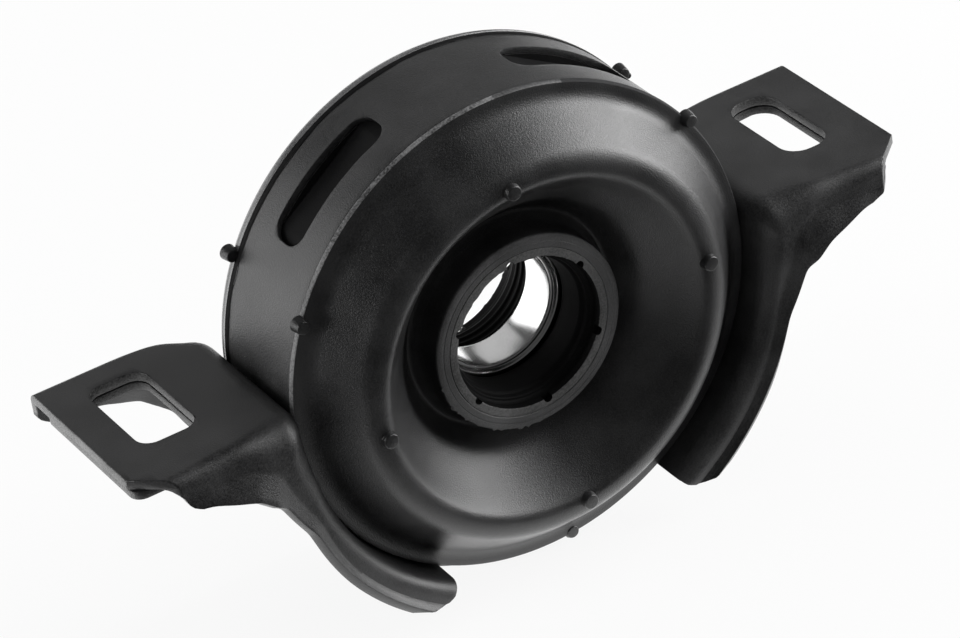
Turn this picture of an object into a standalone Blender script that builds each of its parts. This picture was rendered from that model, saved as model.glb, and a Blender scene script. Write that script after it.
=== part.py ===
"""Drive axle support: a ball bearing carried by a rubber cushion in a steel ring, held by a pressed steel bracket.

Metres, +Z up. X runs from ear to ear and Y along the shaft, with the front at -Y. The origin lies midway between
the ears on the plane where they bolt up, over the middle of the bearing. The shaft axis runs below it, and the
pieces are modelled about that axis under one empty.
"""

import math

import bmesh
import bpy
from mathutils import Matrix, Vector

MM = 0.001
FIT_GAP = 0.3 * MM  # left between pieces that seat on each other

# Ball bearing
BORE_RADIUS = 15.0 * MM
BEARING_RADIUS = 27.5 * MM
BEARING_WIDTH = 13.0 * MM
RACE_CHAMFER = 1.0 * MM
BALL_COUNT = 11
BALL_RADIUS = 3.57 * MM
BALL_CIRCLE_RADIUS = (BORE_RADIUS + BEARING_RADIUS) / 2
SHOULDER_RISE = 2.2 * MM  # from the balls' circle to the edge of a race's track
INNER_SHOULDER_RADIUS = BALL_CIRCLE_RADIUS - SHOULDER_RISE
OUTER_SHOULDER_RADIUS = BALL_CIRCLE_RADIUS + SHOULDER_RISE
CAGE_WIDTH = 1.9 * MM
CAGE_SHEET = 0.7 * MM
SHIELD_SHEET = 1.0 * MM
SHIELD_STEP = 0.8 * MM  # how far the outer race is turned out to hold a shield

# Carrier sleeve and its dust seals
SLEEVE_WALL = 1.5 * MM
SLEEVE_NECK_RADIUS = 21.7 * MM
COLLAR_REACH = 20.4 * MM  # from the middle of the bearing to the collar's end face
COLLAR_RADIUS = 25.2 * MM
COLLAR_CAP = 1.1 * MM
SEAL_DEPTH = 8.4 * MM
SEAL_MOUTH_RADIUS = 19.6 * MM
SEAL_LIP_RADIUS = 16.6 * MM
SEAL_LIP_SHEET = 1.1 * MM
NOTCH_COUNT = 6
NOTCH_RADIUS = 1.1 * MM
NOTCH_DEPTH = 1.5 * MM

# Steel ring and rubber cushion
RING_RADIUS = 61.8 * MM
RING_WALL = 1.6 * MM
RING_FRONT = -16.2 * MM
RING_REAR = 15.2 * MM
LIP_PROUD = 0.3 * MM
LIP_RADIUS = RING_RADIUS + LIP_PROUD
LIP_SHEET = 1.1 * MM
CUSHION_SKIN = 2.4 * MM  # rubber bonded inside the ring and round the sleeve
CREST_INSET = 16.8 * MM  # of the crest inside the ring
CREST_RADIUS = RING_RADIUS - CREST_INSET
CREST_REACH = 30.0 * MM  # from the middle of the bearing to the crest of the bellows
BELLOWS_WALL = 4.4 * MM
VALLEY_REACH = 10.8 * MM
MOULD_TURN = math.radians(5.3)  # the rubber sits turned by this in the ring
NUB_RADIUS = 1.7 * MM
NUB_REACH = 1.3 * MM
LIP_NUB_RADIUS = 1.35 * MM
LIP_NUB_LENGTH = 2.6 * MM
WINDOW_LENGTH = 34.6 * MM
WINDOW_WIDTH = 11.2 * MM
WINDOW_CORNER = 3.0 * MM
WINDOW_ALONG = -1.2 * MM
WINDOW_ANGLES = (math.radians(126), math.radians(60))

# Pressed steel bracket
SHEET = 2.5 * MM
SEAT_HEIGHT = 8.4 * MM  # of the ears' top face above the shaft axis
SADDLE_RADIUS = LIP_RADIUS + FIT_GAP
EAR_LENGTH = 43.6 * MM
EAR_REACH = SADDLE_RADIUS + EAR_LENGTH
SADDLE_BEND = 5.0 * MM  # where an ear turns down into the saddle
BRACKET_HALF_WIDTH = 27.0 * MM
WALL_BEND = 4.5 * MM
CORNER_BEND = 8.6 * MM  # of the front wall where an ear turns down into the saddle
REAR_BEND = 3.0 * MM  # of the rear walls along an ear
REAR_CORNER_BEND = 10.4 * MM
LIP_FLARE = 2.3 * MM
SADDLE_FLARE = 1.2 * MM
FLANGE_DEPTH = 6.9 * MM
FLANGE_RADIUS = SADDLE_RADIUS + FLANGE_DEPTH
FLANGE_END = math.radians(-60)
STRAP_HALF_WIDTH = 11.5 * MM
EAR_CHAMFER = (10.9 * MM, 9.9 * MM)  # off each ear's front corner, along X and Y
SLOT_LENGTH = 29.4 * MM
SLOT_REAR_MARGIN = 8.0 * MM  # from a slot's rear end to the outside of the bracket
SLOT_ALONG = BRACKET_HALF_WIDTH - SLOT_REAR_MARGIN - SLOT_LENGTH / 2
SLOT_INSET = 17.0 * MM  # from an ear's tip to the middle of its slot
SLOT_SPREAD = EAR_REACH - SLOT_INSET
LEFT_SLOT = {"width": 14.8 * MM, "corner": 4.0 * MM}
RIGHT_SLOT = {"width": 12.5 * MM, "corner": 5.4 * MM}
STIFFENER_SHEET = 2.1 * MM
STIFFENER_SETBACK = 0.4 * MM
STIFFENER_LENGTH = 27.1 * MM
STIFFENER_END = EAR_REACH - STIFFENER_SETBACK
STIFFENER_SIDE_INSET = 4.6 * MM  # inside the bracket's walls and their bends
STIFFENER_HALF_WIDTH = BRACKET_HALF_WIDTH - STIFFENER_SIDE_INSET
STIFFENER_CORNER = 3.2 * MM

# The bracket's walls along an ear: distance in from the tip, height of the lower edge over the shaft axis,
# front bend, half width and flare
EAR_WALLS = (
    (0.0 * MM, 2.4 * MM, 3.0 * MM, BRACKET_HALF_WIDTH + 1.2 * MM, 0.0 * MM),
    (1.4 * MM, 0.3 * MM, 3.0 * MM, BRACKET_HALF_WIDTH + 1.1 * MM, 0.0 * MM),
    (3.8 * MM, -0.9 * MM, 3.0 * MM, BRACKET_HALF_WIDTH + 1.0 * MM, 0.0 * MM),
    (11.0 * MM, -1.2 * MM, 3.4 * MM, BRACKET_HALF_WIDTH + 0.8 * MM, 0.3 * MM),
    (16.0 * MM, -1.4 * MM, 3.8 * MM, BRACKET_HALF_WIDTH + 0.5 * MM, 0.9 * MM),
    (21.0 * MM, -3.3 * MM, 4.2 * MM, BRACKET_HALF_WIDTH + 0.2 * MM, 1.6 * MM),
    (27.0 * MM, -5.0 * MM, WALL_BEND, BRACKET_HALF_WIDTH, LIP_FLARE),
)
WALL_CORNER = (SADDLE_RADIUS + 9.8 * MM, -10.8 * MM)  # the end of the sloped edge, beside the saddle
WALL_END_FROM = BRACKET_HALF_WIDTH - 2.0 * MM  # the front walls stand outside this
# The sloped end of an ear's front wall: distance in from the tip, and height over the shaft axis
WALL_END = ((6.6 * MM, 5.8 * MM), (9.0 * MM, 3.9 * MM), (10.6 * MM, 1.4 * MM), (11.2 * MM, -1.8 * MM))

FINE = 44  # steps round a large turned piece
PLAIN = 32  # steps round a small one


def clear_scene():
    for obj in list(bpy.data.objects):
        bpy.data.objects.remove(obj, do_unlink=True)


def new_collection(name, helper=False):
    collection = bpy.data.collections.new(name)
    bpy.context.scene.collection.children.link(collection)
    collection.hide_render = helper
    return collection


def finish_material(name, colour, roughness, metallic):
    material = bpy.data.materials.new(name)
    material.use_nodes = True
    shader = material.node_tree.nodes["Principled BSDF"]
    shader.inputs["Base Color"].default_value = (*colour, 1)
    shader.inputs["Roughness"].default_value = roughness
    shader.inputs["Metallic"].default_value = metallic
    material.diffuse_color = (*colour, 1)
    return material


clear_scene()
PARTS = new_collection("drive_axle_support")
CUTTERS = new_collection("cutters", helper=True)
BLACK_PAINT = finish_material("black_paint", (0.02, 0.02, 0.021), 0.42, 0.0)
DARK_STEEL = finish_material("dark_steel", (0.045, 0.045, 0.047), 0.38, 0.6)
RUBBER = finish_material("rubber", (0.018, 0.018, 0.019), 0.5, 0.0)
BRIGHT_STEEL = finish_material("bright_steel", (0.62, 0.62, 0.61), 0.18, 1.0)
PLAIN_STEEL = finish_material("plain_steel", (0.35, 0.35, 0.35), 0.35, 1.0)

AXIS = bpy.data.objects.new("shaft_axis", None)
AXIS.location.z = -SEAT_HEIGHT
PARTS.objects.link(AXIS)


def add_piece(name, mesh, material):
    """A part of the object, carried by the empty on the shaft axis."""
    obj = bpy.data.objects.new(name, mesh)
    mesh.materials.append(material)
    PARTS.objects.link(obj)
    obj.parent = AXIS
    return obj


def add_cutter(name, mesh):
    obj = bpy.data.objects.new(name, mesh)
    CUTTERS.objects.link(obj)
    obj.parent = AXIS
    obj.hide_render = True
    obj.display_type = "WIRE"
    return obj


def cut(obj, cutter, operation="DIFFERENCE"):
    modifier = obj.modifiers.new(cutter.name, "BOOLEAN")
    modifier.operation = operation
    modifier.solver = "EXACT"
    modifier.object = cutter


def arc(centre, radius, start, end, steps):
    """Points round a circle, both ends included."""
    turn = (end - start) / steps
    return [
        (centre[0] + radius * math.cos(start + turn * i), centre[1] + radius * math.sin(start + turn * i))
        for i in range(steps + 1)
    ]


def smooth_run(points, steps):
    """A smooth curve through the points, with this many steps between two of them."""
    run = []
    for i in range(len(points) - 1):
        before = Vector(points[max(i - 1, 0)])
        start = Vector(points[i])
        end = Vector(points[i + 1])
        after = Vector(points[min(i + 2, len(points) - 1)])
        for step in range(steps):
            t = step / steps
            swing = (2 * before - 5 * start + 4 * end - after) * t * t
            twist = (3 * start - before - 3 * end + after) * t**3
            run.append(tuple(0.5 * (2 * start + (end - before) * t + swing + twist)))
    return run + [tuple(points[-1])]


def mirrored(profile):
    """The same profile on the other side of the middle, in the order that closes a loop."""
    return [(radius, -along) for radius, along in reversed(profile)]


def turned(name, profile, steps, material):
    """A piece turned about the shaft axis from a closed profile of (radius, distance along the axis)."""
    pairs = zip(profile, profile[1:] + profile[:1])
    area = sum(a[0] * b[1] - b[0] * a[1] for a, b in pairs)
    points = profile if area < 0 else profile[::-1]
    mesh = bpy.data.meshes.new(name)
    count = len(points)
    loop = [(i, (i + 1) % count) for i in range(count)]
    mesh.from_pydata([(radius, 0, along) for radius, along in points], loop, [])
    obj = add_piece(name, mesh, material)
    obj.rotation_euler.x = -math.pi / 2
    screw = obj.modifiers.new("turn", "SCREW")
    screw.axis = "Z"
    screw.steps = steps
    screw.render_steps = steps
    screw.use_merge_vertices = True
    screw.merge_threshold = 0.000001
    screw.use_smooth_shade = True
    return obj


def rounded_rectangle(width, height, corner, steps=5):
    """An outline about its own middle."""
    across = width / 2 - corner
    up = height / 2 - corner
    outline = []
    for quarter, (x, y) in enumerate(((across, up), (-across, up), (-across, -up), (across, -up))):
        start = quarter * math.pi / 2
        outline += arc((x, y), corner, start, start + math.pi / 2, steps)
    return outline


def outline_mesh(name, outline, thickness):
    """A flat outline in X and Y made solid, with its middle at Z 0."""
    curve = bpy.data.curves.new(name, "CURVE")
    curve.dimensions = "2D"
    curve.fill_mode = "BOTH"
    curve.extrude = thickness / 2
    spline = curve.splines.new("POLY")
    spline.points.add(len(outline) - 1)
    for point, place in zip(spline.points, outline):
        point.co = (*place, 0, 1)
    spline.use_cyclic_u = True
    flat = bpy.data.objects.new(name, curve)
    CUTTERS.objects.link(flat)
    bpy.context.view_layer.update()
    graph = bpy.context.evaluated_depsgraph_get()
    mesh = bpy.data.meshes.new_from_object(flat.evaluated_get(graph))
    bpy.data.objects.remove(flat)
    bpy.data.curves.remove(curve)
    work = bmesh.new()
    work.from_mesh(mesh)
    bmesh.ops.remove_doubles(work, verts=work.verts, dist=0.000001)
    bmesh.ops.recalc_face_normals(work, faces=work.faces)
    work.to_mesh(mesh)
    work.free()
    return mesh


def pins_mesh(name, places, radius, length):
    """Round pins along Y, each about its own place."""
    work = bmesh.new()
    lay_down = Matrix.Rotation(math.pi / 2, 4, "X")
    for place in places:
        bmesh.ops.create_cone(
            work,
            cap_ends=True,
            segments=10,
            radius1=radius,
            radius2=radius,
            depth=length,
            matrix=Matrix.Translation(place) @ lay_down,
        )
    mesh = bpy.data.meshes.new(name)
    work.to_mesh(mesh)
    work.free()
    return mesh


def round_places(radius, along, angles):
    return [(radius * math.cos(angle), along, radius * math.sin(angle)) for angle in angles]


def groove_arc(shoulder, side):
    """The ball track in a race: side is +1 in the outer race and -1 in the inner one."""
    track = BALL_RADIUS + FIT_GAP
    rise = abs(shoulder - BALL_CIRCLE_RADIUS)
    reach = math.acos(rise / track)
    points = arc((0, 0), track, -reach, reach, 4)
    return [(BALL_CIRCLE_RADIUS + side * x, y) for x, y in points]


def make_races():
    half = BEARING_WIDTH / 2
    chamfer = RACE_CHAMFER
    inner = [
        (BORE_RADIUS + chamfer, -half),
        (BORE_RADIUS, -half + chamfer),
        (BORE_RADIUS, half - chamfer),
        (BORE_RADIUS + chamfer, half),
        (INNER_SHOULDER_RADIUS, half),
        *reversed(groove_arc(INNER_SHOULDER_RADIUS, -1)),
        (INNER_SHOULDER_RADIUS, -half),
    ]
    turned("bearing_inner_race", inner, PLAIN, BRIGHT_STEEL)
    step_radius = OUTER_SHOULDER_RADIUS + SHIELD_STEP
    step_along = half - SHIELD_SHEET - FIT_GAP
    outer = [
        (BEARING_RADIUS, -half),
        (BEARING_RADIUS, half),
        (step_radius, half),
        (step_radius, step_along),
        (OUTER_SHOULDER_RADIUS, step_along),
        *reversed(groove_arc(OUTER_SHOULDER_RADIUS, 1)),
        (OUTER_SHOULDER_RADIUS, -step_along),
        (step_radius, -step_along),
        (step_radius, -half),
    ]
    turned("bearing_outer_race", outer, PLAIN, PLAIN_STEEL)


def make_shields():
    """The bearing's own seals, set in the steps of the outer race and just clear of the inner race."""
    outer = OUTER_SHOULDER_RADIUS + SHIELD_STEP - FIT_GAP
    inner = INNER_SHOULDER_RADIUS + FIT_GAP
    near = BEARING_WIDTH / 2 - SHIELD_SHEET
    profile = [(inner, near), (outer, near), (outer, near + SHIELD_SHEET), (inner, near + SHIELD_SHEET)]
    turned("bearing_shield_rear", profile, PLAIN, RUBBER)
    turned("bearing_shield_front", mirrored(profile), PLAIN, RUBBER)


def ball_angle(index):
    return 2 * math.pi * index / BALL_COUNT


def make_balls():
    work = bmesh.new()
    bmesh.ops.create_uvsphere(work, u_segments=8, v_segments=6, radius=BALL_RADIUS)
    mesh = bpy.data.meshes.new("ball")
    work.to_mesh(mesh)
    work.free()
    mesh.shade_smooth()
    mesh.materials.append(BRIGHT_STEEL)
    for index in range(BALL_COUNT):
        ball = bpy.data.objects.new(f"ball_{index + 1}", mesh)
        PARTS.objects.link(ball)
        ball.parent = AXIS
        angle = ball_angle(index)
        ball.location = (BALL_CIRCLE_RADIUS * math.cos(angle), 0, BALL_CIRCLE_RADIUS * math.sin(angle))


def cage_path():
    """One turn of the cage's middle surface as (angle, height): flat between balls, arched over each."""
    pocket = BALL_RADIUS + FIT_GAP + CAGE_SHEET / 2
    flat = (FIT_GAP + CAGE_SHEET) / 2
    foot = math.sqrt(pocket**2 - flat**2)
    points = []
    for index in range(BALL_COUNT):
        over = [(pocket * math.cos(t), pocket * math.sin(t)) for t in arc_angles(math.atan2(flat, foot), 4)]
        points += [(ball_angle(index) + math.atan2(x, BALL_CIRCLE_RADIUS), height) for x, height in over]
    return points


def arc_angles(low, steps):
    """Angles from just above one end of a half turn to just below the other, from the side with x below 0."""
    span = math.pi - 2 * low
    return [math.pi - low - span * i / steps for i in range(steps + 1)]


def make_cage():
    """A ribbon cage: two pressed rings that meet between the balls and arch over them on each side."""
    path = cage_path()
    for name, side in (("cage_rear", 1), ("cage_front", -1)):
        verts = []
        for angle, height in path:
            for radius in (BALL_CIRCLE_RADIUS - CAGE_WIDTH / 2, BALL_CIRCLE_RADIUS + CAGE_WIDTH / 2):
                verts.append((radius * math.cos(angle), side * height, radius * math.sin(angle)))
        count = len(path)
        faces = [(2 * i, 2 * i + 1, (2 * i + 3) % (2 * count), (2 * i + 2) % (2 * count)) for i in range(count)]
        mesh = bpy.data.meshes.new(name)
        mesh.from_pydata(verts, [], faces)
        mesh.shade_smooth()
        obj = add_piece(name, mesh, PLAIN_STEEL)
        solid = obj.modifiers.new("sheet", "SOLIDIFY")
        solid.thickness = CAGE_SHEET
        solid.offset = 0
        solid.use_even_offset = True


def make_sleeve():
    """The steel carrier: wide over the bearing, then drawn in to a neck at each end."""
    seat = BEARING_RADIUS + FIT_GAP
    shoulder = BEARING_WIDTH / 2 + FIT_GAP
    neck_end = COLLAR_REACH - COLLAR_CAP - FIT_GAP
    inside = [
        (seat, shoulder),
        (SLEEVE_NECK_RADIUS, shoulder),
        (SLEEVE_NECK_RADIUS, neck_end),
    ]
    outside = [
        (SLEEVE_NECK_RADIUS + SLEEVE_WALL, neck_end),
        (SLEEVE_NECK_RADIUS + SLEEVE_WALL, shoulder + SLEEVE_WALL),
        (seat + SLEEVE_WALL, shoulder + SLEEVE_WALL),
    ]
    half = inside + outside
    turned("bearing_sleeve", half + mirrored(half), PLAIN, DARK_STEEL)


def make_dust_seals():
    """A rubber seal pushed into each neck, with a lip that leans in towards the shaft."""
    outer = SLEEVE_NECK_RADIUS - FIT_GAP
    mouth = COLLAR_REACH
    deep = COLLAR_REACH - SEAL_DEPTH
    wall = SEAL_LIP_SHEET
    lip_along = mouth - 4.6 * MM
    profile = [
        (outer, deep),
        (outer, mouth),
        (SEAL_MOUTH_RADIUS, mouth),
        (SEAL_MOUTH_RADIUS, lip_along + 2 * wall),
        (SEAL_LIP_RADIUS, lip_along + wall),
        (SEAL_LIP_RADIUS, lip_along),
        (SEAL_MOUTH_RADIUS, lip_along - wall),
        (SEAL_MOUTH_RADIUS, deep),
    ]
    angles = [MOULD_TURN + math.pi / 2 + 2 * math.pi * i / NOTCH_COUNT for i in range(NOTCH_COUNT)]
    for name, side in (("dust_seal_rear", 1), ("dust_seal_front", -1)):
        seal = turned(name, profile if side > 0 else mirrored(profile), PLAIN, RUBBER)
        centre = side * mouth
        places = round_places(SEAL_MOUTH_RADIUS, centre, angles)
        cut(seal, add_cutter(f"{name}_notches", pins_mesh(name, places, NOTCH_RADIUS, 2 * NOTCH_DEPTH)))


def cushion_profile():
    """The rubber from its front lip over the bellows to the collar, round the sleeve and back inside the ring."""
    skin = CUSHION_SKIN
    ring_inside = RING_RADIUS - RING_WALL - FIT_GAP
    front_lip = RING_FRONT - FIT_GAP
    rear_lip = RING_REAR + FIT_GAP
    round_over = 0.4 * MM
    neck = SLEEVE_NECK_RADIUS + SLEEVE_WALL + FIT_GAP
    seat = BEARING_RADIUS + 2 * FIT_GAP + SLEEVE_WALL
    shoulder = BEARING_WIDTH / 2 + 2 * FIT_GAP + SLEEVE_WALL
    root = seat + skin
    cap = COLLAR_REACH - COLLAR_CAP
    crest = -CREST_REACH
    lip_face = front_lip - LIP_SHEET
    foot = LIP_RADIUS - 4.0 * MM
    bellows_front = smooth_run(
        [
            (foot, lip_face),
            (foot - 2.2 * MM, lip_face - 2.8 * MM),
            (foot - 6.2 * MM, lip_face - 8.4 * MM),
            (CREST_RADIUS + 3.4 * MM, crest + 1.1 * MM),
            (CREST_RADIUS, crest),
            (CREST_RADIUS - 3.0 * MM, crest + 1.9 * MM),
            (COLLAR_RADIUS + 8.0 * MM, -VALLEY_REACH - 7.4 * MM),
            (COLLAR_RADIUS + 2.6 * MM, -VALLEY_REACH),
            (COLLAR_RADIUS + 0.4 * MM, -VALLEY_REACH - 2.6 * MM),
        ],
        2,
    )
    collar_front = [
        (COLLAR_RADIUS, -VALLEY_REACH - 5.0 * MM),
        (COLLAR_RADIUS, -COLLAR_REACH + round_over),
        (COLLAR_RADIUS - round_over, -COLLAR_REACH),
        (SLEEVE_NECK_RADIUS, -COLLAR_REACH),
    ]
    inside_neck = [(SLEEVE_NECK_RADIUS, -cap), (neck, -cap), (neck, -shoulder), (seat, -shoulder)]
    collar_rear = [
        (COLLAR_RADIUS - round_over, COLLAR_REACH),
        (COLLAR_RADIUS, COLLAR_REACH - round_over),
        (COLLAR_RADIUS, shoulder + skin),
        (root - 2 * MM, shoulder + skin),
        (root, shoulder),
    ]
    bellows_rear = smooth_run(
        [
            (root, -VALLEY_REACH + BELLOWS_WALL),
            (root + 1.0 * MM, -VALLEY_REACH - 1.0 * MM),
            (CREST_RADIUS - 7.4 * MM, crest + BELLOWS_WALL + 6.2 * MM),
            (CREST_RADIUS, crest + BELLOWS_WALL),
            (foot - 6.0 * MM, lip_face - 3.4 * MM),
            (ring_inside - skin, lip_face + 4.0 * MM),
        ],
        2,
    )
    rear_edge = [
        (ring_inside - skin, rear_lip + LIP_SHEET),
        (LIP_RADIUS, rear_lip + LIP_SHEET),
        (LIP_RADIUS, rear_lip),
        (ring_inside, rear_lip),
    ]
    front_edge = [
        (ring_inside, front_lip),
        (LIP_RADIUS, front_lip),
        (LIP_RADIUS, lip_face + round_over),
        (LIP_RADIUS - round_over, lip_face),
    ]
    inside_rear = mirrored(inside_neck)
    return (
        front_edge + bellows_front + collar_front + inside_neck + inside_rear
        + [(SLEEVE_NECK_RADIUS, COLLAR_REACH)] + collar_rear + bellows_rear + rear_edge
    )


def window_cutter(name, angle):
    """A rounded slot through the ring's wall, long round the ring and square to its radius."""
    outline = rounded_rectangle(WINDOW_LENGTH, WINDOW_WIDTH, WINDOW_CORNER)
    cutter = add_cutter(name, outline_mesh(name, outline, 20 * MM))
    middle = RING_RADIUS
    cutter.location = (middle * math.cos(angle), WINDOW_ALONG, middle * math.sin(angle))
    cutter.rotation_euler.y = -(angle + math.pi / 2)
    return cutter


def make_cushion():
    cushion = turned("rubber_cushion", cushion_profile(), FINE, RUBBER)
    quarter = [MOULD_TURN + math.pi / 2 * i for i in range(4)]
    crest_length = 4 * MM
    crest_along = -CREST_REACH - NUB_REACH + crest_length / 2
    crest = pins_mesh("crest_nubs", round_places(CREST_RADIUS, crest_along, quarter), NUB_RADIUS, crest_length)
    cut(cushion, add_cutter("crest_nubs", crest), "UNION")
    upper = [MOULD_TURN + math.radians(30), MOULD_TURN + math.radians(150)]
    front_along = RING_FRONT - FIT_GAP - LIP_NUB_LENGTH / 2 - 0.05 * MM
    front = pins_mesh("front_lip_nubs", round_places(LIP_RADIUS, front_along, upper), LIP_NUB_RADIUS, LIP_NUB_LENGTH)
    cut(cushion, add_cutter("front_lip_nubs", front), "UNION")
    behind = [math.radians(31), math.radians(151.5)]
    rear_along = RING_REAR + FIT_GAP + LIP_SHEET - LIP_NUB_LENGTH / 2
    out = LIP_RADIUS + LIP_NUB_RADIUS * 0.75
    rear = pins_mesh("rear_lip_nubs", round_places(out, rear_along, behind), LIP_NUB_RADIUS, LIP_NUB_LENGTH)
    cut(cushion, add_cutter("rear_lip_nubs", rear), "UNION")


def make_ring():
    edge = 0.3 * MM
    inside = RING_RADIUS - RING_WALL
    profile = [
        (RING_RADIUS - edge, RING_FRONT),
        (RING_RADIUS, RING_FRONT + edge),
        (RING_RADIUS, RING_REAR - edge),
        (RING_RADIUS - edge, RING_REAR),
        (inside, RING_REAR),
        (inside, RING_FRONT),
    ]
    ring = turned("outer_ring", profile, FINE, DARK_STEEL)
    for index, angle in enumerate(WINDOW_ANGLES):
        cut(ring, window_cutter(f"ring_window_{index + 1}", angle))


def ear_stations():
    """Stations along a flat ear, each with the point on its face, the way down and the wall's lower edge."""
    down = (0, -1)
    stations = []
    for inset, low, bend, wide, flare in EAR_WALLS:
        x = EAR_REACH - inset
        stations.append(((x, SEAT_HEIGHT), down, (x, low), (bend, REAR_BEND, wide, flare)))
    return stations


def saddle_stations():
    """Stations round the corner between ear and saddle, and down the saddle to the middle."""
    corner_height = SEAT_HEIGHT - SADDLE_BEND
    corner = (math.sqrt((SADDLE_RADIUS + SADDLE_BEND) ** 2 - corner_height**2), corner_height)
    top = math.atan2(corner[1], corner[0])
    near_x, near_z = EAR_REACH - EAR_WALLS[-1][0], EAR_WALLS[-1][1]
    flat = near_x - corner[0]
    bend_length = SADDLE_BEND * (math.pi / 2 - top)
    stations = []
    for i in range(1, 3):
        x = near_x - flat * i / 2
        share = flat * i / 2 / (flat + bend_length)
        edge = (near_x + (WALL_CORNER[0] - near_x) * share, near_z + (WALL_CORNER[1] - near_z) * share)
        bend = WALL_BEND + (CORNER_BEND - WALL_BEND) * i / 2
        rear_bend = REAR_BEND + (REAR_CORNER_BEND - REAR_BEND) * i / 2
        stations.append(((x, SEAT_HEIGHT), (0, -1), edge, (bend, rear_bend, BRACKET_HALF_WIDTH, LIP_FLARE)))
    for i in range(1, 6):
        turn = math.pi / 2 + (math.pi / 2 - top) * i / 5
        share = (flat + bend_length * i / 5) / (flat + bend_length)
        edge = (near_x + (WALL_CORNER[0] - near_x) * share, near_z + (WALL_CORNER[1] - near_z) * share)
        spot = (corner[0] + SADDLE_BEND * math.cos(turn), corner[1] + SADDLE_BEND * math.sin(turn))
        flare = LIP_FLARE + (SADDLE_FLARE - LIP_FLARE) * i / 5
        shape = (CORNER_BEND, REAR_CORNER_BEND, BRACKET_HALF_WIDTH, flare)
        stations.append((spot, (-math.cos(turn), -math.sin(turn)), edge, shape))
    corner_radius = math.hypot(*WALL_CORNER)
    lag = top - math.atan2(WALL_CORNER[1], WALL_CORNER[0])
    steps = 14
    for i in range(1, steps + 1):
        angle = top - (top + math.pi / 2) * i / steps
        swing = max(0, 1 - (top - angle) / math.radians(38))
        reach = max(0, 1 - (top - angle) / math.radians(14))
        bend = WALL_BEND + (CORNER_BEND - WALL_BEND) * reach
        rear_bend = WALL_BEND + (REAR_CORNER_BEND - WALL_BEND) * reach
        edge_radius = FLANGE_RADIUS + (corner_radius - FLANGE_RADIUS) * reach
        edge_angle = angle - lag * swing
        spot = (SADDLE_RADIUS * math.cos(angle), SADDLE_RADIUS * math.sin(angle))
        edge = (edge_radius * math.cos(edge_angle), edge_radius * math.sin(edge_angle))
        shape = (bend, rear_bend, BRACKET_HALF_WIDTH, SADDLE_FLARE)
        stations.append((spot, (math.cos(angle), math.sin(angle)), edge, shape))
    return stations


def wall_run(spot, way, edge, pull=3.6 * MM, samples=24):
    """Points from the face to the wall's lower edge, leaving the face square to it."""
    start = Vector(spot)
    lead = start + Vector(way) * pull
    end = Vector(edge)
    return [start * (1 - v) ** 2 + lead * 2 * v * (1 - v) + end * v * v for v in (i / samples for i in range(samples + 1))]


def length_of(run):
    return sum((b - a).length for a, b in zip(run, run[1:]))


def point_along(run, distance):
    for a, b in zip(run, run[1:]):
        step = (b - a).length
        if distance <= step:
            return a.lerp(b, distance / step)
        distance -= step
    return run[-1]


def section(run, bend, half_width, flare):
    """Half of the pressed section: the flat's edge, the bend, the wall and its flared lip."""
    total = length_of(run)
    points = []
    for i in range(4):
        turn = math.pi / 2 * i / 3
        points.append((bend * (1 - math.cos(turn)), half_width - bend + bend * math.sin(turn)))
    left = total - bend
    points.append((bend + left * 0.38, half_width))
    points.append((total, half_width + flare))
    return [(point_along(run, down), across) for down, across in points]


def pressed_mesh(name, stations):
    """The visible face of a pressing, lofted through its stations, with a wall turned down front and rear."""
    verts = []
    for spot, way, edge, (front_bend, rear_bend, half_width, flare) in stations:
        run = wall_run(spot, way, edge)
        front = section(run, front_bend, half_width, flare)
        verts += [(place.x, -across, place.y) for place, across in reversed(front)]
        verts += [(place.x, across, place.y) for place, across in section(run, rear_bend, half_width, flare)]
    width = len(verts) // len(stations)
    faces = []
    for i in range(len(stations) - 1):
        for j in range(width - 1):
            a = i * width + j
            faces.append((a, a + 1, a + width + 1, a + width))
    mesh = bpy.data.meshes.new(name)
    mesh.from_pydata(verts, [], faces)
    mesh.shade_smooth()
    return mesh


def give_thickness(obj, sheet):
    solid = obj.modifiers.new("sheet", "SOLIDIFY")
    solid.thickness = sheet
    solid.offset = -1
    solid.use_even_offset = True


def slot_cutter(name, x, slot):
    outline = rounded_rectangle(slot["width"], SLOT_LENGTH, slot["corner"])
    cutter = add_cutter(name, outline_mesh(name, outline, 30 * MM))
    cutter.location = (x, SLOT_ALONG, SEAT_HEIGHT)
    return cutter


def corner_cutter(name, side):
    """The wedge that takes an ear's front corner off square to its face."""
    tip = EAR_REACH
    front = -BRACKET_HALF_WIDTH - LIP_FLARE
    over = 20 * MM
    cut_x, cut_y = EAR_CHAMFER
    slope = cut_y / cut_x
    outline = [(tip + over, front + cut_y + over * slope), (tip - cut_x - over, front - over * slope), (tip + over, front - over)]
    if side < 0:
        outline = [(-x, y) for x, y in reversed(outline)]
    cutter = add_cutter(name, outline_mesh(name, outline, 60 * MM))
    return cutter


def wall_end_cutter(name, side):
    """Slopes the end of an ear's front wall, below the corner that the chamfer takes off."""
    over = 20 * MM
    top = WALL_END[0][1]
    outline = smooth_run([(EAR_REACH - inset, height) for inset, height in WALL_END], 2)
    outline += [(outline[-1][0], -over), (EAR_REACH + over, -over), (EAR_REACH + over, top)]
    if side < 0:
        outline = [(-x, z) for x, z in reversed(outline)]
    cutter = add_cutter(name, outline_mesh(name, outline, over))
    cutter.rotation_euler.x = math.pi / 2
    cutter.location.y = -WALL_END_FROM - over / 2
    return cutter


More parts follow.
